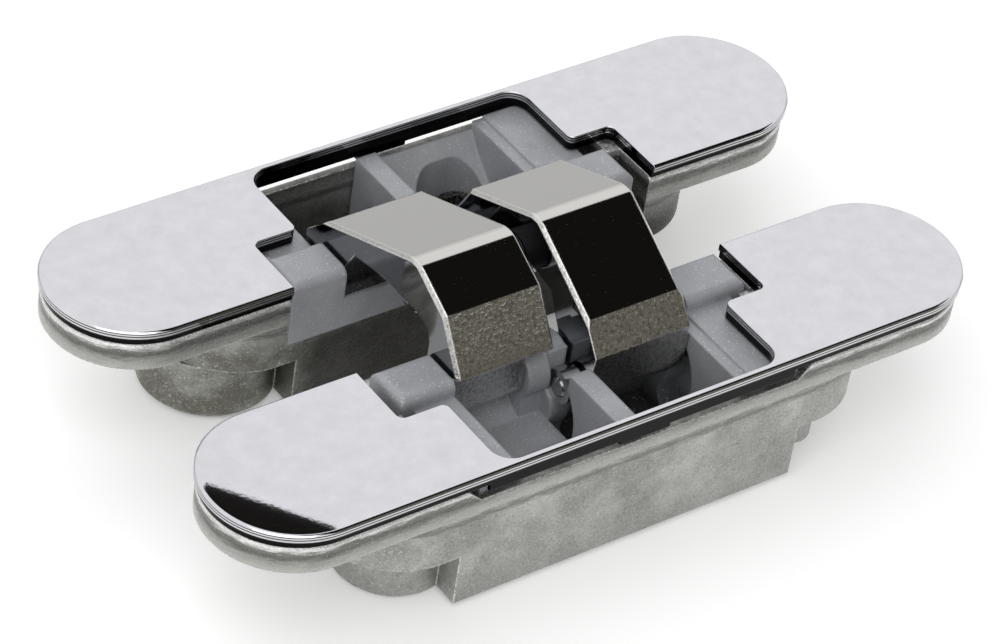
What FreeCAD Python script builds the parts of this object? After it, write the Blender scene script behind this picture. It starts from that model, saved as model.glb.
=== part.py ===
import FreeCAD, Part
import math
import os
import re
import Sketcher

# Concealed invisible door hinge, 180 degrees open, both leaves lying face up.
# X runs along the leaves, Y across the gap between them, Z up out of the covers.
# The near leaf is at -Y and the far leaf at +Y, with the underside of both at Z = 0.
# A "depth" is measured down from the top of the covers, and "inward" across a leaf,
# from its middle towards the gap.

SIZES = {
    # leaves
    "leaf_length": 118.0,
    "leaf_width": 24.0,
    "leaf_gap": 17.4,
    "height_offset": 2.0,
    "body_depth": 22.4,
    # cover
    "plate_thickness": 1.2,
    "rim_thickness": 1.0,
    "rim_inset": 0.35,
    "plate_bevel": 0.25,
    "window_length": 44.9,
    "window_radius": 3.0,
    "strip_width": 1.0,
    "notch_length": 58.8,
    "notch_width": 10.2,
    "notch_radius": 1.0,
    "skirt_length": 49.0,
    "skirt_wall": 0.55,
    "skirt_depth": 3.3,
    "tab_length": 8.0,
    "tab_depth": 3.9,
    # die-cast body
    "flange_inset": 0.4,
    "flange_depth": 6.5,
    "flange_round": 0.6,
    "housing_length": 84.0,
    "housing_depth": 13.5,
    "box_length": 54.8,
    "box_round": 0.8,
    "near_boss_place": 29.5,
    "near_boss_radius": 8.0,
    "far_boss_place": 33.5,
    "far_boss_radius": 9.5,
    "foot_place": 30.0,
    "foot_radius": 3.5,
    "foot_side": 6.5,
    "foot_depth": 18.4,
    "outer_wall": 1.0,
    "inner_wall": 1.4,
    "floor_wall": 1.8,
    "wall_dip": 4.4,
    "dip_ramp": 3.5,
    "hole_place": 50.0,
    "hole_radius": 2.4,
    "sink_radius": 4.6,
    "clip_place": 41.0,
    "clip_radius": 1.7,
    "clip_length": 3.6,
    "clip_head_radius": 2.6,
    "clip_head": 0.6,
    # carriage
    "carriage_shift": 0.5,
    "carriage_length": 55.5,
    "carriage_travel": 3.0,
    "carriage_play": 0.1,
    "plate_length": 51.2,
    "core_length": 49.4,
    "carriage_floor": 1.2,
    "ear_inner": 4.5,
    "ear_depth": 10.3,
    "ear_drop": 0.4,
    "ear_round": 1.3,
    "right_ear_setback": 1.7,
    "rail_drop": 2.6,
    "rail_depth": 6.1,
    "bay_play": 0.4,
    "mid_cheek_drop": 3.0,
    "mid_cheek_setback": 3.4,
    "lug_radius": 3.9,
    "lug_foot": 2.7,
    "trough_depth": 12.7,
    # linkage
    "linkage_shift": 1.5,
    # linkage
    "arm_width": 15.4,
    "arm_gap": 4.0,
    "pivot_inward": 9.0,
    "pivot_depth": 6.5,
    "cross_rise": 2.2,
    "closed_gap": 5.5,
    "slide_inward": 4.0,
    "slide_depth": 7.0,
    "pivot_boss": 2.8,
    "slide_boss": 2.9,
    "cross_boss": 3.4,
    "arm_edge_round": 0.45,
    "underside_rise": 3.4,
    "left_heel_inward": 4.8,
    "left_heel_rise": -0.6,
    "left_knee_inward": 9.5,
    "left_knee_rise": 6.7,
    "left_crest_inward": 17.0,
    "crest_rise": 10.3,
    "left_toe_inward": 36.0,
    "left_toe_rise": 3.0,
    "right_heel_inward": 7.0,
    "right_heel_rise": -0.6,
    "right_knee_inward": 10.0,
    "right_knee_rise": 5.0,
    "right_crest_inward": 23.9,
    "right_toe_inward": 37.2,
    "right_toe_rise": 2.8,
    "toe_drop": 3.2,
    # pins, bushes and screws
    "pivot_pin_radius": 1.75,
    "cross_pin_radius": 1.9,
    "slide_pin_radius": 1.5,
    "pin_seat": 3.0,
    "pin_chamfer": 0.3,
    "bush_wall": 0.5,
    "bush_length": 4.0,
    "running_play": 0.03,
    "shoe_wall": 0.9,
    "shoe_length": 2.6,
    "slot_depth": 3.2,
    "slot_play": 0.08,
    "spacer_wall": 1.1,
    "screw_place": 11.4,
    "screw_inward": -4.8,
    "screw_radius": 2.0,
    "screw_head_radius": 3.4,
    "screw_head": 2.2,
    "screw_seat_depth": 14.6,
    "socket_width": 2.6,
    "socket_depth": 1.3,
}

PLANE_TILT = {"XY_Plane": 2, "XZ_Plane": 1, "YZ_Plane": 0}
SLOT_ARCS = 3

doc = FreeCAD.newDocument("ConcealedHinge")
sheet = doc.addObject("Spreadsheet::Sheet", "Sizes")
for row, (alias, number) in enumerate(SIZES.items(), start=1):
    sheet.set("A%d" % row, alias)
    sheet.set("B%d" % row, str(number))
    sheet.setAlias("B%d" % row, alias)
doc.recompute()


def size(alias):
    return float(sheet.get(alias))


def bound(text):
    # the same formula with each size named as the sheet's cell
    return re.sub(r"[a-z_]{3,}", lambda m: "Sizes." + m.group(0) if m.group(0) in SIZES else m.group(0), text)


def bind(thing, prop, text):
    thing.setExpression(prop, bound(str(text)))


ruler = doc.addObject("App::VarSet", "Ruler")
ruler.addProperty("App::PropertyFloat", "Reading")


def measure(text):
    # the number that a formula of sizes gives
    ruler.setExpression("Reading", bound(str(text)))
    ruler.recompute()
    return ruler.Reading


def depth(text):
    return "(body_depth - (%s))" % text


# where a point of a leaf lies: near or far, along the leaf and inward across it
def along(side, text):
    shift = "-height_offset / 2" if side == "near" else "height_offset / 2"
    return "(%s + (%s))" % (shift, text)


def across(side, text):
    if side == "near":
        return "(-(leaf_gap + leaf_width) / 2 + (%s))" % text
    return "((leaf_gap + leaf_width) / 2 - (%s))" % text


# where a point of a carriage lies along X, from its middle
def carried(text):
    return "(-carriage_shift + (%s))" % text


# where a point of the linkage lies along X, from the middle of the gap between the arms
def link(text):
    return "(-carriage_shift - linkage_shift + (%s))" % text


# how far a carriage stands from the middle of its leaf
def standing(side):
    return "(height_offset / 2 - carriage_shift)" if side == "near" else "(-height_offset / 2 - carriage_shift)"


def plane_of(body, role):
    return next(f for f in body.Origin.OriginFeatures if f.Role == role)


def new_body(label):
    body = doc.addObject("PartDesign::Body", label)
    body.Label = label
    return body


def new_sketch(body, role, offset):
    sketch = body.newObject("Sketcher::SketchObject", "Sketch")
    sketch.AttachmentSupport = [(plane_of(body, role), "")]
    sketch.MapMode = "FlatFace"
    bind(sketch, "AttachmentOffset.Base.z", offset)
    return sketch


def bind_point(sketch, geometry, vertex, x, y):
    for kind, text in (("DistanceX", x), ("DistanceY", y)):
        index = sketch.addConstraint(Sketcher.Constraint(kind, -1, 1, geometry, vertex, measure(text)))
        sketch.setExpression("Constraints[%d]" % index, bound(text))


def draw_outline(sketch, points):
    # a closed outline of straight lines through bound corners
    count = len(points)
    corners = [FreeCAD.Vector(measure(x), measure(y), 0) for x, y in points]
    for index in range(count):
        sketch.addGeometry(Part.LineSegment(corners[index], corners[(index + 1) % count]), False)
    for index in range(count):
        sketch.addConstraint(Sketcher.Constraint("Coincident", index, 2, (index + 1) % count, 1))
    for index, (x, y) in enumerate(points):
        bind_point(sketch, index, 1, x, y)


def draw_circle(sketch, x, y, radius):
    centre = FreeCAD.Vector(measure(x), measure(y), 0)
    index = sketch.addGeometry(Part.Circle(centre, FreeCAD.Vector(0, 0, 1), measure(radius)), False)
    bind_point(sketch, index, 3, x, y)
    constraint = sketch.addConstraint(Sketcher.Constraint("Radius", index, measure(radius)))
    sketch.setExpression("Constraints[%d]" % constraint, bound(radius))


def draw_stadium(sketch, x, y, length, width):
    # two straight sides closed by two half circles
    up = FreeCAD.Vector(0, 0, 1)
    reach = "((%s) - (%s)) / 2" % (length, width)
    half = measure(width) / 2
    left = FreeCAD.Vector(measure(x) - measure(reach), measure(y), 0)
    right = FreeCAD.Vector(measure(x) + measure(reach), measure(y), 0)
    across_half = FreeCAD.Vector(0, half, 0)
    sides = (
        Part.LineSegment(left - across_half, right - across_half),
        Part.ArcOfCircle(Part.Circle(right, up, half), -math.pi / 2, math.pi / 2),
        Part.LineSegment(right + across_half, left + across_half),
        Part.ArcOfCircle(Part.Circle(left, up, half), math.pi / 2, 3 * math.pi / 2),
    )
    for geometry in sides:
        sketch.addGeometry(geometry, False)
    for index in range(4):
        sketch.addConstraint(Sketcher.Constraint("Coincident", index, 2, (index + 1) % 4, 1))
    bind_point(sketch, 0, 1, "%s - %s" % (x, reach), "%s - (%s) / 2" % (y, width))
    bind_point(sketch, 0, 2, "%s + %s" % (x, reach), "%s - (%s) / 2" % (y, width))
    bind_point(sketch, 2, 1, "%s + %s" % (x, reach), "%s + (%s) / 2" % (y, width))
    bind_point(sketch, 2, 2, "%s - %s" % (x, reach), "%s + (%s) / 2" % (y, width))
    for arc, sign in ((1, "+"), (3, "-")):
        place = "%s %s %s" % (x, sign, reach)
        index = sketch.addConstraint(Sketcher.Constraint("DistanceX", -1, 1, arc, 3, measure(place)))
        sketch.setExpression("Constraints[%d]" % index, bound(place))


def rectangle(x0, x1, y0, y1):
    return [(x0, y0), (x1, y0), (x1, y1), (x0, y1)]


def finish_feature(body, feature, grows):
    before = body.Shape.Volume if body.Shape and not body.Shape.isNull() else 0.0
    doc.recompute()
    after = body.Shape.Volume
    if grows != (after > before + 1e-6) or abs(after - before) < 1e-6:
        raise RuntimeError("%s in %s changed nothing: %.3f to %.3f" % (feature.Name, body.Label, before, after))
    return feature


# a pad or a cut that starts at an offset along the plane's normal and runs the given length
def pad(body, role, start, length, draw, *values):
    sketch = new_sketch(body, role, start)
    draw(sketch, *values)
    feature = body.newObject("PartDesign::Pad", "Pad")
    feature.Profile = sketch
    bind(feature, "Length", length)
    return finish_feature(body, feature, True)


def cut(body, role, start, length, draw, *values):
    sketch = new_sketch(body, role, start)
    draw(sketch, *values)
    feature = body.newObject("PartDesign::Pocket", "Pocket")
    feature.Profile = sketch
    feature.Reversed = True
    bind(feature, "Length", length)
    return finish_feature(body, feature, False)


def cut_across(body, side, inward_from, inward_to, points):
    # a cut along Y between two places across a leaf; the plane's normal points to -Y
    start, end = across(side, inward_from), across(side, inward_to)
    if measure(start) < measure(end):
        start, end = end, start
    return cut(body, "XZ_Plane", "-(%s)" % start, "%s - (%s)" % (start, end), draw_outline, points)


def edges_where(shape, test):
    return ["Edge%d" % (index + 1) for index, edge in enumerate(shape.Edges) if test(edge)]


def round_edges(body, radius, test, kind="PartDesign::Fillet"):
    base = body.Tip
    names = edges_where(base.Shape, test)
    if not names:
        raise RuntimeError("no edges to round in %s" % body.Label)
    feature = body.newObject(kind, "Edge")
    feature.Base = (base, names)
    bind(feature, "Radius" if kind.endswith("Fillet") else "Size", radius)
    doc.recompute()
    if "Invalid" in feature.State:
        raise RuntimeError("edges of %s can't be rounded by %s" % (body.Label, radius))
    return feature


def middle(edge):
    return edge.valueAt((edge.FirstParameter + edge.LastParameter) / 2)


def runs_along(edge, axis):
    if len(edge.Vertexes) < 2:
        return False
    step = edge.Vertexes[1].Point - edge.Vertexes[0].Point
    others = [abs(v) for i, v in enumerate(step) if i != axis]
    return abs(step[axis]) > 1e-6 and max(others) < 1e-6


def is_near(number, target):
    return abs(number - target) < 0.02


def level(edge, height):
    box = edge.BoundBox
    return is_near(box.ZMin, height) and is_near(box.ZMax, height)


def side_sign(side):
    return 1.0 if side == "near" else -1.0


def leaf_x(side):
    return -side_sign(side) * size("height_offset") / 2


def leaf_y(side, inward):
    return side_sign(side) * (inward - (size("leaf_gap") + size("leaf_width")) / 2)


# Covers: polished pressed plates with a window for the linkage

def make_cover(side):
    body = new_body(side + "_cover")
    middle_x = along(side, "0")
    middle_y = across(side, "0")
    pad(body, "XY_Plane", depth("plate_thickness"), "plate_thickness",
        draw_stadium, middle_x, middle_y, "leaf_length", "leaf_width")
    top = size("body_depth")
    round_edges(body, "plate_bevel", lambda e: level(e, top), "PartDesign::Chamfer")
    pad(body, "XY_Plane", depth("plate_thickness + rim_thickness"), "rim_thickness",
        draw_stadium, middle_x, middle_y, "leaf_length - 2 * rim_inset", "leaf_width - 2 * rim_inset")
    pad(body, "XY_Plane", depth("skirt_depth"), "skirt_depth - plate_thickness - rim_thickness",
        draw_outline, rectangle(along(side, "-skirt_length / 2"), along(side, "skirt_length / 2"),
                                across(side, "rim_inset - leaf_width / 2"),
                                across(side, "rim_inset + skirt_wall - leaf_width / 2")))
    pad(body, "XY_Plane", depth("tab_depth"), "tab_depth - skirt_depth",
        draw_outline, rectangle(along(side, "-tab_length / 2"), along(side, "tab_length / 2"),
                                across(side, "rim_inset - leaf_width / 2"),
                                across(side, "rim_inset + skirt_wall - leaf_width / 2")))
    cut(body, "XY_Plane", depth("plate_thickness + rim_thickness"), "plate_thickness + rim_thickness",
        draw_outline, rectangle(along(side, "-window_length / 2"), along(side, "window_length / 2"),
                                across(side, "strip_width - leaf_width / 2"), across(side, "leaf_width")))
    cut(body, "XY_Plane", depth("plate_thickness + rim_thickness"), "plate_thickness + rim_thickness",
        draw_outline, rectangle(along(side, "-notch_length / 2"), along(side, "notch_length / 2"),
                                across(side, "leaf_width / 2 - notch_width"), across(side, "leaf_width")))
    strip = leaf_y(side, size("strip_width") - size("leaf_width") / 2)
    round_edges(body, "window_radius", lambda e: runs_along(e, 2) and is_near(middle(e).y, strip)
                and is_near(abs(middle(e).x - leaf_x(side)), size("window_length") / 2))
    shoulder = leaf_y(side, size("leaf_width") / 2 - size("notch_width"))
    round_edges(body, "notch_radius", lambda e: runs_along(e, 2) and is_near(middle(e).y, shoulder))
    return body


# Bodies: zinc die castings, a flange over a stepped housing that is let into the door or the frame

def make_casting(side):
    body = new_body(side + "_body")
    middle_x = along(side, "0")
    middle_y = across(side, "0")
    width = "leaf_width - 2 * flange_inset"
    top = "plate_thickness + rim_thickness"
    pad(body, "XY_Plane", depth("flange_depth"), "flange_depth - (%s)" % top,
        draw_stadium, middle_x, middle_y, "leaf_length - 2 * flange_inset", width)
    flange_top = size("body_depth") - size("plate_thickness") - size("rim_thickness")
    round_edges(body, "flange_round", lambda e: level(e, flange_top), "PartDesign::Chamfer")
    pad(body, "XY_Plane", depth("housing_depth"), "housing_depth - flange_depth",
        draw_stadium, middle_x, middle_y, "housing_length", width)
    inner = across(side, "leaf_width / 2 - flange_inset")
    outer = across(side, "flange_inset - leaf_width / 2")
    pad(body, "XY_Plane", "0", "body_depth - housing_depth",
        draw_outline, rectangle(along(side, "-box_length / 2"), along(side, "box_length / 2"), outer, inner))
    pad(body, "XY_Plane", "0", "body_depth - housing_depth",
        draw_circle, along(side, "-%s_boss_place" % side), across(side, "0"), side + "_boss_radius")
    pad(body, "XY_Plane", depth("foot_depth"), "foot_depth - housing_depth",
        draw_circle, along(side, "foot_place"), across(side, "-foot_side"), "foot_radius")
    round_edges(body, "box_round", lambda e: level(e, 0.0), "PartDesign::Chamfer")
    # room for the carriage to shift: its core, its top plate and its two ears
    back = "outer_wall + flange_inset - leaf_width / 2"
    rooms = (
        ("core_length", "floor_wall", back, "leaf_width / 2 - inner_wall - flange_inset"),
        ("plate_length", "body_depth - rail_depth - carriage_play", back, "ear_inner + carriage_play"),
        ("carriage_length", "body_depth - ear_depth - carriage_play", "ear_inner - carriage_play", "leaf_width"),
    )
    for length, bottom, low, high in rooms:
        half = "(%s + carriage_travel) / 2 + carriage_play" % length
        cut(body, "XY_Plane", bottom, "body_depth - (%s)" % bottom,
            draw_outline, rectangle(along(side, "-(%s)" % half), along(side, half),
                                    across(side, low), across(side, high)))
    # the outer wall dips under the cover's strip, with a ramp at each end
    dip = [(along(side, "-skirt_length / 2 - 1 - dip_ramp"), depth("plate_thickness")),
           (along(side, "-skirt_length / 2 - 1"), depth("wall_dip")),
           (along(side, "skirt_length / 2 + 1"), depth("wall_dip")),
           (along(side, "skirt_length / 2 + 1 + dip_ramp"), depth("plate_thickness"))]
    cut_across(body, side, back, "-leaf_width", dip)
    # screw holes for fixing the leaf, plug holes for the cover and the well of the height screw
    for sign in ("-", ""):
        place = along(side, sign + "hole_place")
        cut(body, "XY_Plane", depth("flange_depth"), "flange_depth", draw_circle, place, middle_y, "hole_radius")
        plug = along(side, sign + "clip_place")
        cut(body, "XY_Plane", depth(top + " + clip_length"), "clip_length",
            draw_circle, plug, middle_y, "clip_radius + carriage_play")
        cut(body, "XY_Plane", depth(top + " + clip_head"), "clip_head",
            draw_circle, plug, middle_y, "clip_head_radius + carriage_play")
    rim_z = size("body_depth") - size("plate_thickness") - size("rim_thickness")
    round_edges(body, "sink_radius - hole_radius",
                lambda e: level(e, rim_z) and isinstance(e.Curve, Part.Circle)
                and is_near(e.Curve.Radius, size("hole_radius")), "PartDesign::Chamfer")
    cut(body, "XY_Plane", "0", "floor_wall", draw_circle, clamp_place(side),
        across(side, "screw_inward"), "screw_radius")
    return body


# the clamp screw stays with the body, in a slot of the carriage
def clamp_place(side):
    return "(%s - %s)" % (link(screw_side(side) + "screw_place"), standing(side))


# the clamp screw of each leaf stands in its pivot bay: left in the near leaf, right in the far one
def screw_side(side):
    return "-" if side == "near" else ""


# Linkage: the constant ratios that bring both leaves from 180 degrees open to face to face

def linkage_numbers():
    pivot_y = size("pivot_inward")
    pivot_z = -size("pivot_depth")
    open_y = (size("leaf_width") + size("leaf_gap")) / 2
    open_z = size("cross_rise")
    reach = math.hypot(open_y - pivot_y, open_z - pivot_z)
    rise = size("closed_gap") / 2 - pivot_z
    start = math.atan2(open_z - pivot_z, open_y - pivot_y)
    end = math.pi - math.asin(rise / reach)
    return pivot_y, pivot_z, open_y, open_z, reach, start, end - start


def slide_path(steps):
    # the slide pin's centre in its own leaf, inward and up from the cover's face
    pivot_y, pivot_z, open_y, open_z, reach, start, swing = linkage_numbers()
    points = []
    for step in range(steps + 1):
        share = step / steps
        turn = start + swing * share
        cross_y = pivot_y + reach * math.cos(turn)
        cross_z = pivot_z + reach * math.sin(turn)
        roll = (math.pi - swing) * share
        off_y = size("slide_inward") - open_y
        off_z = -size("slide_depth") - open_z
        points.append((cross_y + off_y * math.cos(roll) - off_z * math.sin(roll),
                       cross_z + off_y * math.sin(roll) + off_z * math.cos(roll)))
    return points


def slot_face(side, radius, x):
    # the room that the slide shoe sweeps, as a face at one X
    points = slide_path(2 * SLOT_ARCS)
    sign = side_sign(side)
    offset = (size("leaf_gap") + size("leaf_width")) / 2

    def place(y, z):
        return FreeCAD.Vector(x, sign * (y - offset), size("body_depth") + z)

    left, right = [], []
    for index, (y, z) in enumerate(points):
        back = points[max(index - 1, 0)]
        ahead = points[min(index + 1, len(points) - 1)]
        run = math.hypot(ahead[0] - back[0], ahead[1] - back[1])
        normal = (-(ahead[1] - back[1]) / run, (ahead[0] - back[0]) / run)
        left.append(place(y + normal[0] * radius, z + normal[1] * radius))
        right.append(place(y - normal[0] * radius, z - normal[1] * radius))

    def cap(index, other, first, last):
        y, z = points[index]
        run = math.hypot(y - points[other][0], z - points[other][1])
        tip = place(y + (y - points[other][0]) / run * radius, z + (z - points[other][1]) / run * radius)
        return Part.Arc(first, tip, last).toShape()

    def arcs(line):
        return [Part.Arc(*line[i:i + 3]).toShape() for i in range(0, 2 * SLOT_ARCS, 2)]

    edges = arcs(left) + [cap(-1, -2, left[-1], right[-1])] + arcs(right) + [cap(0, 1, right[0], left[0])]
    wire = Part.Wire(Part.__sortEdges__(edges))
    return Part.Face(wire)


# Carriages: silver painted castings that carry one arm's pivot and guide the other arm's slide pin

def bay_span(side, kind):
    # the X span of the arm that pivots or slides in this leaf, as offsets from the linkage's middle
    left = ("-arm_gap / 2 - arm_width", "-arm_gap / 2")
    right = ("arm_gap / 2", "arm_gap / 2 + arm_width")
    if (side == "near") == (kind == "pivot"):
        return left
    return right


def make_carriage(side):
    body = new_body(side + "_carriage")
    back = "outer_wall + flange_inset + carriage_play - leaf_width / 2"
    front = "leaf_width / 2 - flange_inset"
    core_front = front + " - inner_wall - carriage_play"
    bottom = "floor_wall + carriage_play"
    top = depth("-2")
    pad(body, "XY_Plane", bottom, "body_depth - rail_depth - (%s)" % bottom,
        draw_outline, rectangle(carried("-core_length / 2"), carried("core_length / 2"),
                                across(side, back), across(side, core_front)))
    pad(body, "XY_Plane", depth("rail_depth"), "rail_depth - rail_drop",
        draw_outline, rectangle(carried("-plate_length / 2"), carried("plate_length / 2"),
                                across(side, back), across(side, "ear_inner")))
    pad(body, "XY_Plane", depth("ear_depth"), "ear_depth - ear_drop",
        draw_outline, rectangle(carried("-carriage_length / 2"), carried("carriage_length / 2"),
                                across(side, "ear_inner"), across(side, front)))
    ear_top = size("body_depth") - size("ear_drop")
    round_edges(body, "ear_round", lambda e: level(e, ear_top))
    # pivot bay: a trough that takes the folded arm
    low, high = bay_span(side, "pivot")
    trough = [(across(side, "leaf_width"), depth("pivot_depth + pivot_boss + bay_play")),
              (across(side, front), depth("pivot_depth + pivot_boss + bay_play")),
              (across(side, "pivot_inward - pivot_boss"), depth("trough_depth")),
              (across(side, "0"), depth("trough_depth")),
              (across(side, "-4"), depth("trough_depth - 1.8")),
              (across(side, "-7.5"), depth("trough_depth - 5")),
              (across(side, back), depth("rail_drop + 1.6")),
              (across(side, "-leaf_width"), depth("rail_drop + 1.6")),
              (across(side, "-leaf_width"), top),
              (across(side, "leaf_width"), top)]
    cut(body, "YZ_Plane", link("%s - bay_play" % low), "arm_width + 2 * bay_play", draw_outline, trough)
    # slide bay: deep enough for the sliding arm, open above and at the back
    low, high = bay_span(side, "slide")
    slide_floor = "floor_wall + carriage_play + carriage_floor"
    bay = [(across(side, "leaf_width"), depth("mid_cheek_drop")), (across(side, "11"), depth("5.4")),
           (across(side, "8.6"), depth("9")), (across(side, "8.6"), slide_floor),
           (across(side, "-7"), slide_floor), (across(side, "-leaf_width"), depth("9")),
           (across(side, "-leaf_width"), top), (across(side, "leaf_width"), top)]
    cut(body, "YZ_Plane", link("%s - bay_play" % low), "arm_width + 2 * bay_play", draw_outline, bay)
    # the middle cheek between the bays is lower than the rails, and so is the shelf by the right ear
    for start, length in (("-arm_gap / 2 - bay_play", "arm_gap + 2 * bay_play"),
                          ("arm_gap / 2 + arm_width", "right_ear_setback + bay_play")):
        cut(body, "YZ_Plane", link(start), length, draw_outline,
            rectangle(across(side, "-leaf_width"), across(side, "leaf_width"), depth("mid_cheek_drop"), top))
    # the middle cheek carries a lug that holds the inner end of the pivot pin
    start = "-arm_gap / 2 + bay_play" if side == "far" else "-arm_gap / 2 - mid_cheek_setback + bay_play"
    length = "arm_gap + mid_cheek_setback - 2 * bay_play"
    lug = [(across(side, "pivot_inward - lug_foot"), depth("trough_depth + 1")),
           (across(side, "pivot_inward - lug_foot"), depth("pivot_depth")),
           (across(side, front), depth("pivot_depth")),
           (across(side, front), depth("ear_depth")),
           (across(side, core_front), depth("ear_depth")),
           (across(side, core_front), depth("trough_depth + 1"))]
    pad(body, "YZ_Plane", link(start), length, draw_outline, lug)
    pad(body, "YZ_Plane", link(start), length, draw_circle, across(side, "pivot_inward"), depth("pivot_depth"),
        "lug_radius")
    cut_across(body, side, "leaf_width", front, rectangle(link("-carriage_length"), link("carriage_length"), "0", top))
    return body


def slot_tools(side):
    # one tool per cheek, swept from the pin's path; the middle cheek's slot is open above
    radius = size("slide_pin_radius") + size("shoe_wall") + size("slot_play")
    slide_low, slide_high = (-size("arm_gap") / 2 - size("arm_width"), -size("arm_gap") / 2)
    if side == "near":
        slide_low, slide_high = (size("arm_gap") / 2, size("arm_gap") / 2 + size("arm_width"))
    shift = -size("carriage_shift") - size("linkage_shift")
    play = size("bay_play")
    deep = size("slot_depth")
    shapes = []
    for start in (slide_low - play - deep, slide_high + play - 0.1):
        face = slot_face(side, radius, shift + start)
        shapes.append(face.extrude(FreeCAD.Vector(deep + 0.1, 0, 0)))
    inner = slide_low - play - deep if side == "near" else slide_high + play - 0.1
    mouth_y = leaf_y(side, size("slide_inward"))
    mouth = Part.makeBox(deep + 0.1, 2 * radius, size("slide_depth") + 1,
                         FreeCAD.Vector(shift + inner, mouth_y - radius, size("body_depth") - size("slide_depth")))
    return shapes + [mouth]


def add_tool(label, shape):
    tool = doc.addObject("Part::Feature", label)
    tool.Shape = shape
    return tool


def cut_from(label, base, tools):
    # a boolean cut of bodies and primitives whose result is the piece
    joined = tools[0]
    if len(tools) > 1:
        joined = doc.addObject("Part::MultiFuse", label + "_tools")
        joined.Shapes = tools
    result = doc.addObject("Part::Cut", label)
    result.Base = base
    result.Tool = joined
    result.Refine = True
    result.Label = label
    doc.recompute()
    return result


def rod(label, radius, length, x, y, z, turn=None):
    # a round bar that starts at a point and runs along X, or along Z when turn is "up"
    bar = doc.addObject("Part::Cylinder", label)
    bar.Label = label
    bind(bar, "Radius", radius)
    bind(bar, "Height", length)
    if turn is None:
        bar.Placement.Rotation = FreeCAD.Rotation(FreeCAD.Vector(0, 1, 0), 90)
    for axis, text in zip("xyz", (x, y, z)):
        bind(bar, "Placement.Base." + axis, text)
    return bar


def tube(label, outer, inner, length, x, y, z, turn=None):
    wall = rod(label + "_wall", outer, length, x, y, z, turn)
    bore = rod(label + "_bore", inner, "%s + 2" % length, x if turn else "%s - 1" % x, y,
               "%s - 1" % z if turn else z, turn)
    return cut_from(label, wall, [bore])


def chamfered(label, base, chamfer):
    piece = doc.addObject("Part::Chamfer", label)
    piece.Base = base
    doc.recompute()
    rims = [i + 1 for i, e in enumerate(base.Shape.Edges) if isinstance(e.Curve, Part.Circle)]
    piece.Edges = [(i, size(chamfer), size(chamfer)) for i in rims]
    piece.Label = label
    doc.recompute()
    return piece


def point_on_pivot(side):
    return across(side, "pivot_inward"), depth("pivot_depth")


def point_on_slide(side):
    return across(side, "slide_inward"), depth("slide_depth")


# Arms: die-cast and polished links, crossed and joined by one pin

def make_arm(name):
    # the arm pivots in its own leaf and slides in the other one
    home = "near" if name == "left" else "far"
    away = "far" if name == "left" else "near"
    body = new_body(name + "_arm")
    low, high = bay_span(home, "pivot")
    pivot_y, pivot_z = point_on_pivot(home)
    slide_y, slide_z = point_on_slide(away)
    cross_y, cross_z = "0", depth("-cross_rise")

    def spot(inward, rise):
        return (across(home, inward), depth("-(%s)" % rise))

    crest = name + "_crest_inward"
    full = "(leaf_width + leaf_gap)"
    outline = [
        spot("pivot_inward - pivot_boss", "-pivot_depth"),
        spot("pivot_inward - pivot_boss", "-1.6 - %s_heel_rise" % name),
        spot(name + "_heel_inward", name + "_heel_rise"),
        spot(name + "_knee_inward", name + "_knee_rise"),
        spot(crest + " - 0.8", "crest_rise"),
        spot(crest + " + 0.8", "crest_rise"),
        spot(name + "_toe_inward", name + "_toe_rise"),
        spot("%s - slide_inward + slide_boss" % full, name + "_toe_rise - toe_drop - 1"),
        spot("%s - slide_inward + slide_boss" % full, "-slide_depth"),
        spot("%s - slide_inward - slide_boss" % full, "-slide_depth"),
        spot("%s / 2 + leaf_gap / 2" % full, "underside_rise - 1.2"),
        spot("%s / 2 + 2" % full, "underside_rise"),
        spot("%s / 2 - 6" % full, "underside_rise"),
        spot("%s / 2 - leaf_gap / 2 + 0.6" % full, "underside_rise - 0.8"),
        spot("pivot_inward + pivot_boss", "1"),
        spot("pivot_inward + pivot_boss", "-pivot_depth"),
    ]
    pad(body, "YZ_Plane", link(low), "arm_width", draw_outline, outline)
    edge_x = measure(link(low))
    ends = (edge_x, edge_x + size("arm_width"))

    def on_side(edge):
        # the upper outline on both flat sides, from the heel over the crest to the toe
        box = edge.BoundBox
        flat = is_near(box.XMin, box.XMax) and (is_near(box.XMin, ends[0]) or is_near(box.XMin, ends[1]))
        rise = middle(edge).z - size("body_depth")
        inward = (size("leaf_gap") + size("leaf_width")) / 2 + side_sign(home) * middle(edge).y
        return flat and (rise > size("underside_rise") + 0.1 or (rise > 1 and inward < size("pivot_inward")))

    round_edges(body, "arm_edge_round", on_side, "PartDesign::Chamfer")
    pad(body, "YZ_Plane", link(low), "arm_width", draw_circle, pivot_y, pivot_z, "pivot_boss")
    pad(body, "YZ_Plane", link(low), "arm_width", draw_circle, slide_y, slide_z, "slide_boss")
    knuckle = "%s + 3" % low if name == "left" else low
    pad(body, "YZ_Plane", link(knuckle), "arm_width - 3", draw_circle, cross_y, cross_z, "cross_boss")
    # the pivot boss is set back beside the middle cheek, which holds the other arm's slot
    setback = "%s - mid_cheek_setback" % high if name == "left" else low
    relief = rectangle(across(home, "-leaf_width"), across(home, "pivot_inward + 2 * pivot_boss"),
                       depth("leaf_width"), depth("2.2"))
    cut(body, "YZ_Plane", link(setback), "mid_cheek_setback", draw_outline, relief)
    # bores for the pivot bushes, the cross pin's bushes and the slide pin
    cut(body, "YZ_Plane", link(low) + " - 1", "arm_width + 2", draw_circle, pivot_y, pivot_z,
        "pivot_pin_radius + bush_wall")
    cross_start = "%s + 1.6" % low if name == "left" else "%s - 1" % low
    cut(body, "YZ_Plane", link(cross_start), "arm_width + 2", draw_circle, cross_y, cross_z,
        "cross_pin_radius + bush_wall")
    cut(body, "YZ_Plane", link(low) + " - 1", "arm_width + 2", draw_circle, slide_y, slide_z, "slide_pin_radius")
    return body


# Pins, bushes, shoes and the spacer of the linkage

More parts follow.
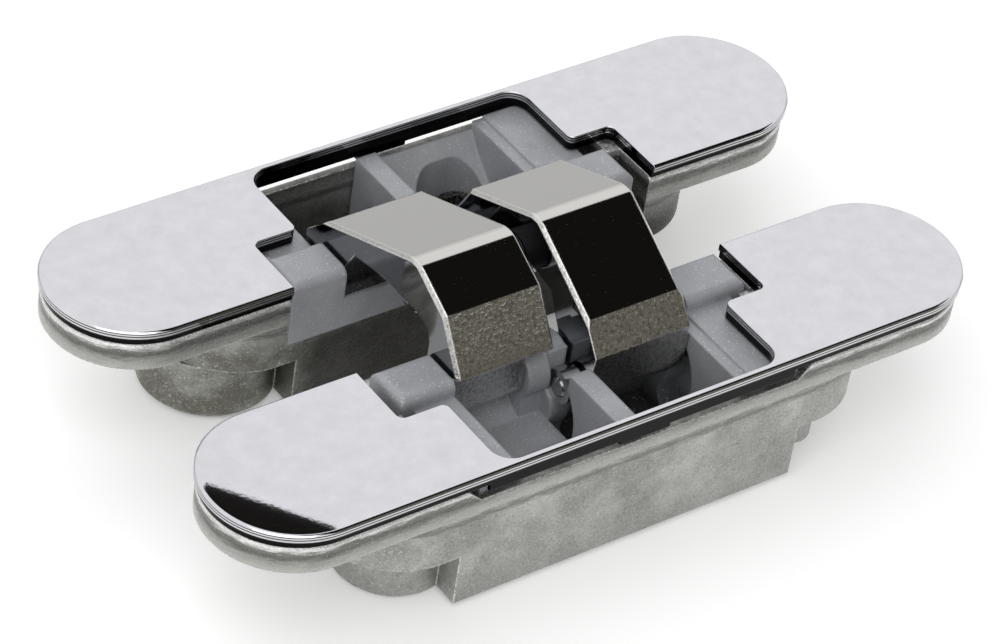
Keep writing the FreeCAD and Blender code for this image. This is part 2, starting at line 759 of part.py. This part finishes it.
def make_pivot_pin(side):
    low, high = bay_span(side, "pivot")
    y, z = point_on_pivot(side)
    start = "%s - bay_play - pin_seat" % low
    end = "%s - mid_cheek_setback + bay_play + pin_seat" % high
    if side == "far":
        start = "%s + mid_cheek_setback - bay_play - pin_seat" % low
        end = "%s + bay_play + pin_seat" % high
    bar = rod(side + "_pivot_bar", "pivot_pin_radius", "(%s) - (%s)" % (end, start), link(start), y, z)
    return chamfered(side + "_pivot_pin", bar, "pin_chamfer"), start, end


def make_slide_pin(name):
    away = "far" if name == "left" else "near"
    low, high = bay_span(away, "slide")
    y, z = point_on_slide(away)
    start = "%s - bay_play - slot_depth + 0.3" % low
    length = "arm_width + 2 * bay_play + 2 * slot_depth - 0.6"
    bar = rod(name + "_slide_bar", "slide_pin_radius", length, link(start), y, z)
    pin = chamfered(name + "_slide_pin", bar, "pin_chamfer")
    shoes = []
    for place, first in (("inner", name == "right"), ("outer", name == "left")):
        begin = "%s - bay_play - 0.1 - shoe_length" % low if first else "%s + bay_play + 0.1" % high
        shoes.append(tube("%s_slide_shoe_%s" % (name, place), "slide_pin_radius + shoe_wall",
                          "slide_pin_radius", "shoe_length", link(begin), y, z))
    return pin, shoes


def make_bushes(name):
    home = "near" if name == "left" else "far"
    low, high = bay_span(home, "pivot")
    y, z = point_on_pivot(home)
    first = low if name == "left" else "%s + mid_cheek_setback" % low
    last = "%s - mid_cheek_setback" % high if name == "left" else high
    made = []
    for place, begin in (("a", first), ("b", "%s - bush_length" % last)):
        made.append(tube("%s_pivot_bush_%s" % (home, place), "pivot_pin_radius + bush_wall",
                         "pivot_pin_radius + running_play", "bush_length", link(begin), y, z))
    begin = "%s - bush_length" % high if name == "left" else low
    made.append(tube(name + "_cross_bush", "cross_pin_radius + bush_wall",
                     "cross_pin_radius + running_play", "bush_length * 2", link(begin + (" - bush_length" if name == "left" else "")),
                     "0", depth("-cross_rise")))
    return made


def make_cross_pin():
    start = "-arm_gap / 2 - arm_width + 1.8"
    length = "arm_gap + 2 * arm_width - 1.8 - 1"
    bar = rod("cross_bar", "cross_pin_radius", length, link(start), "0", depth("-cross_rise"))
    pin = chamfered("cross_pin", bar, "pin_chamfer")
    spacer = tube("cross_spacer", "cross_pin_radius + spacer_wall", "cross_pin_radius + running_play",
                  "arm_gap - 0.2", link("-arm_gap / 2 + 0.1"), "0", depth("-cross_rise"))
    return [pin, spacer]


# Screws and plugs

def make_clamp_screw(side):
    x = clamp_place(side)
    y = across(side, "screw_inward")
    head_z = depth("screw_seat_depth - running_play")
    head = rod(side + "_clamp_head", "screw_head_radius", "screw_head", x, y, head_z, "up")
    shank = rod(side + "_clamp_shank", "screw_radius", "body_depth - screw_seat_depth + 0.2", x, y, "0", "up")
    whole = doc.addObject("Part::Fuse", side + "_clamp_blank")
    whole.Base = head
    whole.Tool = shank
    socket = doc.addObject("Part::Prism", side + "_clamp_socket")
    bind(socket, "Circumradius", "socket_width")
    bind(socket, "Height", "socket_depth + 1")
    for axis, text in zip("xyz", (x, y, head_z + " + screw_head - socket_depth")):
        bind(socket, "Placement.Base." + axis, text)
    return cut_from(side + "_clamp_screw", whole, [socket])


def make_cover_plugs(side):
    under = "plate_thickness + rim_thickness"
    pieces = []
    for word, sign in (("left", "-"), ("right", "")):
        x = along(side, sign + "clip_place")
        y = across(side, "0")
        stem = rod("%s_%s_plug_stem" % (side, word), "clip_radius", "clip_length - 0.3", x, y,
                   depth(under + " + clip_length - 0.3"), "up")
        head = rod("%s_%s_plug_head" % (side, word), "clip_head_radius", "clip_head", x, y,
                   depth(under + " + clip_head"), "up")
        plug = doc.addObject("Part::Fuse", "%s_%s_plug" % (side, word))
        plug.Base = stem
        plug.Tool = head
        pieces.append(plug)
    group = doc.addObject("Part::Compound", side + "_cover_plugs")
    group.Links = pieces
    group.Label = side + "_cover_plugs"
    doc.recompute()
    return group


def make_leaf(side):
    cover = make_cover(side)
    casting = make_casting(side)
    carriage_body = make_carriage(side)
    pin, start, end = make_pivot_pin(side)
    y, z = point_on_pivot(side)
    seat = rod(side + "_pin_seat", "pivot_pin_radius", "(%s) - (%s)" % (end, start), link(start), y, z)
    tools = [add_tool("%s_slot_%d" % (side, i), s) for i, s in enumerate(slot_tools(side))]
    holes = []
    for label, width, bottom, height in (
            ("shank", "(2 * screw_radius + 2 * bay_play)", "0", "body_depth - screw_seat_depth + 1"),
            ("head", "(2 * screw_head_radius + 2 * bay_play)", depth("screw_seat_depth"), "screw_seat_depth")):
        room = doc.addObject("Part::Box", "%s_%s_room" % (side, label))
        bind(room, "Length", "carriage_travel")
        bind(room, "Width", width)
        bind(room, "Height", height)
        left = "%s - carriage_travel / 2" % link(screw_side(side) + "screw_place")
        for axis, text in zip("xyz", (left, across(side, "screw_inward") + " - %s / 2" % width, bottom)):
            bind(room, "Placement.Base." + axis, text)
        holes.append(room)
        for tag, offset in (("a", "0"), ("b", "carriage_travel")):
            holes.append(rod("%s_%s_end_%s" % (side, label, tag), "%s / 2" % width, height,
                             left + " + " + offset, across(side, "screw_inward"), bottom, "up"))
    carriage = cut_from(side + "_carriage_casting", carriage_body, [seat] + tools + holes)
    return {
        side + "_cover": cover,
        side + "_body": casting,
        side + "_carriage": carriage,
        side + "_pivot_pin": pin,
        side + "_clamp_screw": make_clamp_screw(side),
        side + "_cover_plugs": make_cover_plugs(side),
    }


pieces = {}
for side in ("near", "far"):
    pieces.update(make_leaf(side))
for name in ("left", "right"):
    pieces[name + "_arm"] = make_arm(name)
    pin, shoes = make_slide_pin(name)
    pieces[pin.Label] = pin
    for piece in shoes + make_bushes(name):
        pieces[piece.Label] = piece
for piece in make_cross_pin():
    pieces[piece.Label] = piece

doc.recompute()
for thing in doc.Objects:
    if "Invalid" in thing.State or "Error" in thing.State:
        raise RuntimeError("%s did not recompute: %s" % (thing.Label, thing.State))
for node, piece in pieces.items():
    if piece.Shape.isNull() or not piece.Shape.isValid():
        raise RuntimeError("%s has no valid shape" % node)

os.makedirs("parts", exist_ok=True)
for node, piece in pieces.items():
    piece.Shape.exportStep("parts/%s.step" % node)
    print("%-26s solids %d volume %9.2f" % (node, len(piece.Shape.Solids), piece.Shape.Volume))
_, _, _, _, reach, start, swing = linkage_numbers()
print("pivot swing %.3f degrees, slide path %s" % (
    math.degrees(swing), [(round(a, 2), round(b, 2)) for a, b in slide_path(4)]))
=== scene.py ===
import math

import bmesh
import bpy
from mathutils import Matrix, Vector


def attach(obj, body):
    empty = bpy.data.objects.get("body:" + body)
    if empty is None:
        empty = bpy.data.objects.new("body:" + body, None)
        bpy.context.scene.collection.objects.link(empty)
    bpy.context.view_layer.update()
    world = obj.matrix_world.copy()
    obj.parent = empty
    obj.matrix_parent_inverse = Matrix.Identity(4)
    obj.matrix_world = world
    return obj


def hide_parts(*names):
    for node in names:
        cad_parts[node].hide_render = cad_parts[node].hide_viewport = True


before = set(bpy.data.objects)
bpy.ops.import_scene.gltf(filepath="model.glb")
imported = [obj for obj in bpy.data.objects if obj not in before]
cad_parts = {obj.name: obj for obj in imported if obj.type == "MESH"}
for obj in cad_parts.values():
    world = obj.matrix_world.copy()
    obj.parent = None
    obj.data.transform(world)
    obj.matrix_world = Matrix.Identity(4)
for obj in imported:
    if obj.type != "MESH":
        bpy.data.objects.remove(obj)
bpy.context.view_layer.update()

# Bodies: two zinc die castings, let into the door's edge and the frame.
# Their skin is left as it comes out of the die: light grey, clouded by the flow of the metal,
# with fine pits, tool marks and a brighter worn edge.
MILLIMETRE = 0.001
WELD, FLAT, CREASE = 0.001 * MILLIMETRE, math.radians(0.5), math.radians(20)


def linear(hex_colour):
    # an sRGB hex value as the linear colour that the shader takes
    channels = [int(hex_colour[i:i + 2], 16) / 255 for i in (1, 3, 5)]
    return [c / 12.92 if c <= 0.04045 else ((c + 0.055) / 1.055) ** 2.4 for c in channels] + [1.0]


def new_material(name, **settings):
    # a material whose shader sockets are set by name
    material = bpy.data.materials.new(name)
    material.use_nodes = True
    shader = material.node_tree.nodes["Principled BSDF"]
    for socket, value in settings.items():
        shader.inputs[socket.replace("_", " ")].default_value = value
    return material, shader


def add_node(material, kind, links=None, **settings):
    # one node with its settings: a name with a capital sets an input, any other an attribute
    node = material.node_tree.nodes.new("ShaderNode" + kind)
    for name, value in settings.items():
        if name[0].isupper():
            node.inputs[name.replace("_", " ")].default_value = value
        else:
            setattr(node, name, value)
    for socket, source in (links or {}).items():
        material.node_tree.links.new(source, node.inputs[socket])
    return node


def link(material, source, target):
    material.node_tree.links.new(source, target)


def object_place(material):
    return add_node(material, "TexCoord").outputs["Object"]


def grain(material, place, millimetres, **settings):
    # noise whose grain is this wide
    return add_node(material, "TexNoise", {"Vector": place}, Scale=1 / (millimetres * MILLIMETRE), **settings)


def ramp(material, value, stops):
    # a colour ramp, each stop a place and a hex colour
    node = add_node(material, "ValToRGB", {"Fac": value})
    elements = node.color_ramp.elements
    while len(elements) < len(stops):
        elements.new(0.5)
    for element, (place, colour) in zip(elements, stops):
        element.position = place
        element.color = linear(colour)
    return node.outputs["Color"]


def spread(material, value, low, high, start=0.0, end=1.0):
    # the value's stretch from low to high, as start to end
    return add_node(material, "MapRange", {"Value": value}, From_Min=low, From_Max=high,
                    To_Min=start, To_Max=end).outputs["Result"]


def tint(material, amount, under, over):
    # one colour over another: each is a hex colour or a socket
    node = add_node(material, "Mix", {"Factor": amount}, data_type="RGBA")
    for socket, colour in ((node.inputs[6], under), (node.inputs[7], over)):
        if isinstance(colour, str):
            socket.default_value = linear(colour)
        else:
            link(material, colour, socket)
    return node.outputs[2]


def product(material, first, second):
    return add_node(material, "Math", {0: first, 1: second}, operation="MULTIPLY").outputs["Value"]


def worn_edge(material, reach, samples=6):
    # the normal rounded over a reach, and 0 on flat stretches to 1 at the edges
    bevel = add_node(material, "Bevel", samples=samples, Radius=reach * MILLIMETRE).outputs["Normal"]
    geometry = add_node(material, "NewGeometry")
    turned = add_node(material, "VectorMath", {0: bevel, 1: geometry.outputs["Normal"]}, operation="DOT_PRODUCT")
    return bevel, spread(material, turned.outputs["Value"], 0.995, 0.9)


def bump(material, height, normal, strength, depth):
    return add_node(material, "Bump", {"Height": height, "Normal": normal},
                    Strength=strength, Distance=depth * MILLIMETRE).outputs["Normal"]


def finished_copy(node, name, body, material, edges=None):
    # a merged, smoothly shaded copy of a CAD node's mesh, with some of its edges rounded
    mesh = bpy.data.meshes.new(name)
    shape = bmesh.new()
    shape.from_mesh(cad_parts[node].data)
    bmesh.ops.remove_doubles(shape, verts=shape.verts, dist=WELD)
    bmesh.ops.dissolve_limit(shape, angle_limit=FLAT, verts=shape.verts, edges=shape.edges)
    for face in shape.faces:
        face.smooth = True
    if edges:
        edges(shape)
    for edge in shape.edges:
        edge.smooth = edge.calc_face_angle(0) < CREASE
    shape.normal_update()
    shape.to_mesh(mesh)
    shape.free()
    mesh.materials.append(material)
    piece = bpy.data.objects.new(name, mesh)
    bpy.context.scene.collection.objects.link(piece)
    flat_faces = piece.modifiers.new("flat_faces", "WEIGHTED_NORMAL")
    flat_faces.weight, flat_faces.keep_sharp = 100, True
    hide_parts(node)
    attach(piece, body)
    return piece


# the flange's rim: its painted highlight and dark reflection bands from its lower to its upper height, how far
# they wander, and the size and stretch of the streaks
RIM_LOW, RIM_HIGH, RIM_WANDER, STREAK, STRETCH = 15.5, 22.6, 2.4, 0.9, (0.35, 0.35, 2.0)
RIM_SHEEN_TONES = ((0.0, "#7C7C78"), (0.12, "#747470"), (0.24, "#B6B6B2"), (0.42, "#9A9A96"), (0.56, "#50504D"),
             (0.66, "#72726E"), (0.74, "#E4E4E2"), (0.8, "#FFFFFF"), (0.86, "#5C5C59"), (0.93, "#D8D8D5"),
             (1.0, "#8C8C88"))


def cast_zinc(name, shade, shade_top, painted_gap_shade=None):
    # the skin, over a painted shade that takes the deep parts from a height down; a second painted shade, given
    # by a place along each axis, softly darkens the wall that faces the other leaf, where the gap between the
    # leaves lies in shadow
    cloud, fleck, pit = 6.0, 0.42, 0.15
    material, shader = new_material(name, Metallic=0.8)
    place = object_place(material)
    clouds = grain(material, place, cloud, Detail=7.0, Roughness=0.66).outputs["Fac"]
    tone = ramp(material, clouds, ((0.36, "#94948F"), (0.5, "#A6A6A2"), (0.64, "#BABAB6")))
    where = add_node(material, "SeparateXYZ", {"Vector": place})
    # painted shade: the deep parts darken from a height down
    deep = spread(material, where.outputs["Z"], shade_top * MILLIMETRE, (shade_top - 3) * MILLIMETRE, 0.0, 0.85)
    patches = spread(material, clouds, 0.42, 0.56, 1.0, 0.55)
    tone = tint(material, product(material, deep, patches), tone, shade)
    flecks = grain(material, place, fleck, Detail=4.0, Roughness=0.75).outputs["Fac"]
    tone = tint(material, spread(material, flecks, 0.56, 0.7, 0.0, 0.6), tone, "#E0E0DD")
    tone = tint(material, spread(material, flecks, 0.44, 0.33, 0.0, 0.6), tone, "#6C6C68")
    # painted highlights and a painted dark band streak the flange's rim, which is also a little glossier there
    streaks = add_node(material, "VectorMath", {0: place}, operation="MULTIPLY")
    streaks.inputs[1].default_value = STRETCH
    drawn = grain(material, streaks.outputs["Vector"], STREAK, Detail=5.0, Roughness=0.7).outputs["Fac"]
    wander = add_node(material, "Math", {0: drawn}, operation="MULTIPLY_ADD")
    wander.inputs[1].default_value = RIM_WANDER * MILLIMETRE
    link(material, where.outputs["Z"], wander.inputs[2])
    rim = spread(material, wander.outputs["Value"], RIM_LOW * MILLIMETRE, RIM_HIGH * MILLIMETRE)
    painted_rim_bands = ramp(material, rim, RIM_SHEEN_TONES)
    rim_sheen = spread(material, rim, 0.0, 0.08, 0.0, 0.85)
    tone = tint(material, rim_sheen, tone, painted_rim_bands)
    pits = grain(material, place, pit, Detail=2.0, Roughness=0.6).outputs["Fac"]
    tone = tint(material, spread(material, pits, 0.68, 0.73, 0.0, 0.8), tone, "#F4F4F2")
    bevel, edge = worn_edge(material, 0.4)
    scuffed = product(material, edge, spread(material, flecks, 0.38, 0.56))
    tone = tint(material, scuffed, tone, "#EDEDEA")
    # painted shade: the wall that faces the other leaf is darkened as if in the gap's shadow
    if painted_gap_shade:
        along = spread(material, where.outputs["X"], (painted_gap_shade[0] - 2) * MILLIMETRE, (painted_gap_shade[0] + 4) * MILLIMETRE)
        inward = spread(material, where.outputs["Y"], (painted_gap_shade[1] + 3) * MILLIMETRE, (painted_gap_shade[1] - 1) * MILLIMETRE)
        below = spread(material, where.outputs["Z"], (painted_gap_shade[2] + 3) * MILLIMETRE, (painted_gap_shade[2] - 4) * MILLIMETRE,
                       0.0, 0.84)
        tone = tint(material, product(material, product(material, along, inward), below), tone, "#23201C")
    link(material, tone, shader.inputs["Base Color"])
    satin = add_node(material, "Math", {0: spread(material, flecks, 0.35, 0.65, 0.48, 0.26),
                                       1: spread(material, rim_sheen, 0.0, 1.0, 0.0, 0.08)}, operation="SUBTRACT")
    link(material, satin.outputs["Value"], shader.inputs["Roughness"])
    rough = bump(material, pits, bevel, 0.3, 0.12)
    link(material, bump(material, flecks, rough, 0.4, 0.3), shader.inputs["Normal"])
    return material


# each casting has a painted shade deep down; the far one, which the near leaf shades, is shaded darker and from
# higher up
near_zinc = cast_zinc("cast_zinc", "#9C9C99", 6)
far_zinc = cast_zinc("cast_zinc_painted_shade", "#66665A", 14, painted_gap_shade=(-27.0, 13.0, 15.0))
finished_copy("near_body", "near_body_casting", "near_leaf", near_zinc)
finished_copy("far_body", "far_body_casting", "far_leaf", far_zinc)

# Covers: pressed zinc plates, polished and bright chrome plated.
# The plate mirrors its surroundings, softened by a faint cloudiness left by the polishing wheel;
# its rolled edge is rounded, and its side carries painted thin dark and bright lines for the edge's reflections.
ROLLED_EDGE, COVER_TOP, PLATE = 0.16, 22.4, 1.2
SIDE_REFLECTIONS = ((0.0, "#161616"), (0.1, "#1E1E1E"), (0.16, "#D8D8DA"), (0.32, "#B8B8BA"), (0.38, "#222222"),
              (0.46, "#262626"), (0.52, "#E0E0E2"), (0.64, "#C8C8CA"), (0.7, "#181818"), (0.8, "#1A1A1A"),
              (0.86, "#F4F4F6"))


def rolled_edges(shape):
    # the plate's upper edges are rolled over by the press
    top = max(vert.co.z for vert in shape.verts)
    upper = [edge for edge in shape.edges if edge.calc_face_angle(0) > CREASE
             and all(abs(vert.co.z - top) < WELD * 10 for vert in edge.verts)]
    bmesh.ops.bevel(shape, geom=upper, offset=ROLLED_EDGE * MILLIMETRE, offset_type="OFFSET", segments=3,
                    profile=0.5, affect="EDGES", material=-1, clamp_overlap=True)


def chrome_plate():
    cloud, wave = 2.8, 0.5
    material, shader = new_material("bright_chrome_plate", Metallic=1.0, Roughness=0.01)
    place = object_place(material)
    clouds = grain(material, place, cloud, Detail=4.0, Roughness=0.6).outputs["Fac"]
    tone = ramp(material, clouds, ((0.3, "#D2D2D7"), (0.5, "#D7D7DC"), (0.7, "#DCDCE1")))
    # painted reflections: the rolled side is coloured by height in thin bright and dark lines, which stand for
    # the reflections of its rounded edge
    height = add_node(material, "SeparateXYZ", {"Vector": place}).outputs["Z"]
    rise = spread(material, height, (COVER_TOP - PLATE) * MILLIMETRE, COVER_TOP * MILLIMETRE)
    edge_reflections = ramp(material, rise, SIDE_REFLECTIONS)
    upright = add_node(material, "SeparateXYZ", {"Vector": add_node(material, "NewGeometry").outputs["Normal"]})
    tone = tint(material, spread(material, upright.outputs["Z"], 0.6, 0.4), tone, edge_reflections)
    link(material, tone, shader.inputs["Base Color"])
    waves = grain(material, place, wave, Detail=2.0).outputs["Fac"]
    bevel, _ = worn_edge(material, 0.08)
    link(material, bump(material, waves, bevel, 0.0008, 0.2), shader.inputs["Normal"])
    return material


chrome = chrome_plate()
for side in ("near", "far"):
    finished_copy(side + "_cover", side + "_cover_plate", side + "_leaf", chrome, rolled_edges)

# Carriages: zinc castings under silver-grey paint.
# The paint is satin and lies softly over the edges, and it holds fine metal flakes that glint.
# A painted shade darkens the deep bays, from and to a height.
BAY_SHADE = (8.0, 4.0)


def silver_paint():
    flake, dapple = 0.13, 4.0
    material, shader = new_material("silver_paint", Metallic=0.2, Roughness=0.48)
    place = object_place(material)
    clouds = grain(material, place, dapple, Detail=3.0).outputs["Fac"]
    tone = ramp(material, clouds, ((0.3, "#9C9EA2"), (0.7, "#A8AAAE")))
    # painted shade: the deep bays darken from a height down
    depth = add_node(material, "SeparateXYZ", {"Vector": place}).outputs["Z"]
    deep = spread(material, depth, BAY_SHADE[0] * MILLIMETRE, BAY_SHADE[1] * MILLIMETRE, 0.0, 0.9)
    tone = tint(material, deep, tone, "#2C2C2D")
    cells = add_node(material, "TexVoronoi", {"Vector": place}, Scale=1 / (flake * MILLIMETRE))
    chance = add_node(material, "SeparateColor", {"Color": cells.outputs["Color"]})
    tone = tint(material, spread(material, chance.outputs["Red"], 0.97, 0.99, 0.0, 0.8), tone, "#E2E4E8")
    tone = tint(material, spread(material, chance.outputs["Green"], 0.9, 1.0, 0.0, 0.25), tone, "#7C7E82")
    link(material, tone, shader.inputs["Base Color"])
    bevel, _ = worn_edge(material, 0.5)
    link(material, bump(material, cells.outputs["Distance"], bevel, 0.1, 0.08), shader.inputs["Normal"])
    return material


paint = silver_paint()
for side in ("near", "far"):
    finished_copy(side + "_carriage", side + "_carriage_casting", side + "_carriage", paint)

# Arms: zinc castings, polished on their outer faces and black chrome plated.
# The broad faces mirror like glass, the short faces keep the casting's orange peel, and the
# plating is thin and bright along the edges.
# the crest's rounding, and the least width of an edge that runs across an arm
CREST_ROUND, ACROSS = 0.9, 4


def arm_edges(shape):
    # only the crest is rounded: the other edges stay as the CAD has them
    top = max(vert.co.z for vert in shape.verts)
    outline = [edge for edge in shape.edges if edge.calc_face_angle(0) > math.radians(9)
               and abs(edge.verts[0].co.x - edge.verts[1].co.x) > ACROSS * MILLIMETRE]
    crest = [edge for edge in outline if abs(edge.verts[0].co.z - top) < WELD * 10]
    bmesh.ops.bevel(shape, geom=crest, offset=CREST_ROUND * MILLIMETRE, offset_type="OFFSET", segments=5,
                    profile=0.5, affect="EDGES", material=-1, clamp_overlap=True)


def black_chrome():
    scuff, peel_size, dust = 0.24, 0.5, 0.16
    material, shader = new_material("black_chrome", Metallic=1.0)
    place = object_place(material)
    bevel, edge = worn_edge(material, 0.3)
    geometry = add_node(material, "NewGeometry")
    facing = add_node(material, "SeparateXYZ", {"Vector": geometry.outputs["Normal"]})
    sideways = add_node(material, "Math", {0: facing.outputs["X"]}, operation="ABSOLUTE").outputs["Value"]
    flank = spread(material, sideways, 0.75, 0.95)
    scuffs = grain(material, place, scuff, Detail=3.0, Roughness=0.65).outputs["Fac"]
    bright = spread(material, product(material, edge, scuffs), 0.2, 0.42)
    tone = tint(material, flank, "#D0CFCC", "#88898C")
    flat_end = spread(material, flank, 0.0, 0.5, 1.0, 0.0)
    low = product(material, spread(material, facing.outputs["Z"], 0.7, 0.6), flat_end)
    peel = grain(material, place, peel_size, Detail=3.0, Roughness=0.6).outputs["Fac"]
    tone = tint(material, product(material, low, spread(material, peel, 0.5, 0.36, 0.0, 0.5)), tone, "#6A6864")
    tone = tint(material, product(material, low, spread(material, peel, 0.58, 0.72, 0.0, 0.6)), tone, "#FFFFFF")
    tone = tint(material, bright, tone, "#FAFAF8")
    link(material, tone, shader.inputs["Base Color"])
    motes = grain(material, place, dust, Detail=0.0).outputs["Fac"]
    link(material, spread(material, motes, 0.84, 0.86, 0.06, 0.3), shader.inputs["Roughness"])
    # the orange peel lies on the short faces under the knees, which point down and outwards
    height = product(material, low, peel)
    link(material, bump(material, height, bevel, 0.7, 0.15), shader.inputs["Normal"])
    return material


arm_plate = black_chrome()
for side in ("left", "right"):
    finished_copy(side + "_arm", side + "_arm_casting", side + "_arm", arm_plate, arm_edges)

# Pins, shoes and screws: turned steel.
# The pins and shoes are ground bright, with fine light scratches, and the screws are blackened.


# a scratch is drawn this wide, coarser than real, so that it shows
SCRATCH = 0.4


def ground_steel(name, colour, roughness):
    material, shader = new_material(name, Metallic=1.0, Roughness=roughness)
    place = object_place(material)
    scratches = grain(material, place, SCRATCH, Detail=2.0).outputs["Fac"]
    tone = tint(material, spread(material, scratches, 0.4, 0.8, 0.0, 0.5), colour, "#E4E4E4")
    link(material, tone, shader.inputs["Base Color"])
    return material


def finish_node(node, material):
    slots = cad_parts[node].data.materials
    slots.clear()
    slots.append(material)


bright_steel = ground_steel("ground_steel", "#B4B4B4", 0.18)
black_steel = ground_steel("blackened_steel", "#3A3A3A", 0.35)
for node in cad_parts:
    if "pin" in node or "shoe" in node:
        finish_node(node, bright_steel)
    if "screw" in node:
        finish_node(node, black_steel)

# Bushes, plugs and spacer: black sliding polymer, injection moulded.
# The mould leaves a fine matt skin that takes no sharp reflection.


SKIN = 0.2


def sliding_polymer():
    material, shader = new_material("sliding_polymer", Roughness=0.55)
    place = object_place(material)
    skin = grain(material, place, SKIN, Detail=2.0).outputs["Fac"]
    link(material, ramp(material, skin, ((0.3, "#1A1A1B"), (0.7, "#2A2A2B"))), shader.inputs["Base Color"])
    return material


polymer = sliding_polymer()
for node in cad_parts:
    if "bush" in node or "plug" in node or "spacer" in node:
        finish_node(node, polymer)

# Studio: a white paper floor and a white tent, with dark flags that the polished faces mirror,
# and one soft lamp.
FLOOR_REACH, PAPER_GLOW = 3.0, 0.2
# each flag: its way from the hinge, its half angle and its soft edge in degrees
BLACK_FLAG = ((0.46, -0.27, 0.84), 25, 2)
BROWN_FLAG = ((0.508, -0.83, 0.25), 22, 8)
SMALL_DISC = ((0.4499, 0.5868, 0.6732), 0.93, 0.02)
DISC_HALF = ((-0.5642, -0.3976, 0.7236), 90.0, 0.02)
KEY_PLACE, KEY_WIDTH, KEY_POWER = (-0.35, -0.45, 0.8), 0.9, 2.5


def studio_floor():
    mesh = bpy.data.meshes.new("floor")
    shape = bmesh.new()
    bmesh.ops.create_grid(shape, x_segments=1, y_segments=1, size=FLOOR_REACH)
    bmesh.ops.translate(shape, verts=shape.verts, vec=(0, 0, -0.0002))
    shape.to_mesh(mesh)
    shape.free()
    floor = bpy.data.objects.new("floor", mesh)
    bpy.context.scene.collection.objects.link(floor)
    material, shader = new_material("white_paper", Roughness=0.9)
    shader.inputs["Base Color"].default_value = linear("#FFFFFF")
    shader.inputs["Emission Color"].default_value = linear("#FFFFFF")
    path = add_node(material, "LightPath")
    seen = add_node(material, "Math", {0: path.outputs["Is Camera Ray"], 1: path.outputs["Is Glossy Ray"]},
                    operation="MAXIMUM")
    seen = add_node(material, "Math", {0: seen.outputs["Value"], 1: path.outputs["Is Transmission Ray"]},
                    operation="MAXIMUM")
    link(material, spread(material, seen.outputs["Value"], 0.0, 1.0, 0.0, PAPER_GLOW), shader.inputs["Emission Strength"])
    mesh.materials.append(material)


def light_tent():
    world = bpy.data.worlds.new("light_tent")
    bpy.context.scene.world = world
    world.use_nodes = True
    back = world.node_tree.nodes["Background"]
    back.inputs["Strength"].default_value = 1.0
    look = add_node(world, "TexCoord").outputs["Generated"]

    def card(way, half, soft):
        # 1 within so many degrees of a way, 0 outside
        dot = add_node(world, "VectorMath", {0: look}, operation="DOT_PRODUCT")
        dot.inputs[1].default_value = Vector(way).normalized()
        edge, inside = math.cos(math.radians(half + soft)), math.cos(math.radians(half))
        return spread(world, dot.outputs["Value"], edge, inside)

    height = add_node(world, "SeparateXYZ", {"Vector": look}).outputs["Z"]
    colour = tint(world, spread(world, height, 0.16, 0.45), "#CFCFCF", "#FFFFFF")
    colour = tint(world, card(*BLACK_FLAG), colour, "#171614")
    colour = tint(world, card(*BROWN_FLAG), colour, "#6E6B61")
    # half of a small dark disc, which the near plate's end mirrors as a crescent
    half_disc = product(world, card(*SMALL_DISC), card(*DISC_HALF))
    colour = tint(world, half_disc, colour, "#1C1B19")
    link(world, colour, back.inputs["Color"])


def soft_lamp(name, place, aim, width, power):
    lamp = bpy.data.lights.new(name, "AREA")
    lamp.shape = "SQUARE"
    lamp.size = width
    lamp.energy = power
    holder = bpy.data.objects.new(name, lamp)
    bpy.context.scene.collection.objects.link(holder)
    holder.location = place
    way = Vector(aim) - Vector(place)
    holder.rotation_euler = way.to_track_quat("-Z", "Y").to_euler()


studio_floor()
light_tent()
soft_lamp("key", KEY_PLACE, (0, 0, 0), KEY_WIDTH, KEY_POWER)

# Camera: the photograph's viewing angle, worked out from the outlines of the two covers.
# Angles are in degrees, lengths in metres, and the focal length in the photograph's pixels.
AZIMUTH, ELEVATION, ROLL = math.radians(-41.07), math.radians(39.39), math.radians(9.50)
DISTANCE, TARGET = 0.5461, Vector((-0.00805, -0.00896, 0.0224))
SENSOR, FOCAL_PIXELS, PHOTO_WIDTH = 36.0, 4211, 1000


def photo_camera():
    camera = bpy.data.cameras.new("camera")
    camera.sensor_width = SENSOR
    camera.lens = FOCAL_PIXELS * SENSOR / PHOTO_WIDTH
    holder = bpy.data.objects.new("camera", camera)
    bpy.context.scene.collection.objects.link(holder)
    back = Vector((math.sin(AZIMUTH) * math.cos(ELEVATION), -math.cos(AZIMUTH) * math.cos(ELEVATION),
                   math.sin(ELEVATION)))
    right = (-back).cross(Vector((0, 0, 1))).normalized()
    up = right.cross(-back)
    tilted_right = right * math.cos(ROLL) + up * math.sin(ROLL)
    tilted_up = up * math.cos(ROLL) - right * math.sin(ROLL)
    turn = Matrix((tilted_right, tilted_up, back)).transposed()
    holder.matrix_world = Matrix.Translation(TARGET + back * DISTANCE) @ turn.to_4x4()
    bpy.context.scene.camera = holder


photo_camera()
bpy.context.scene.view_settings.view_transform = "Standard"
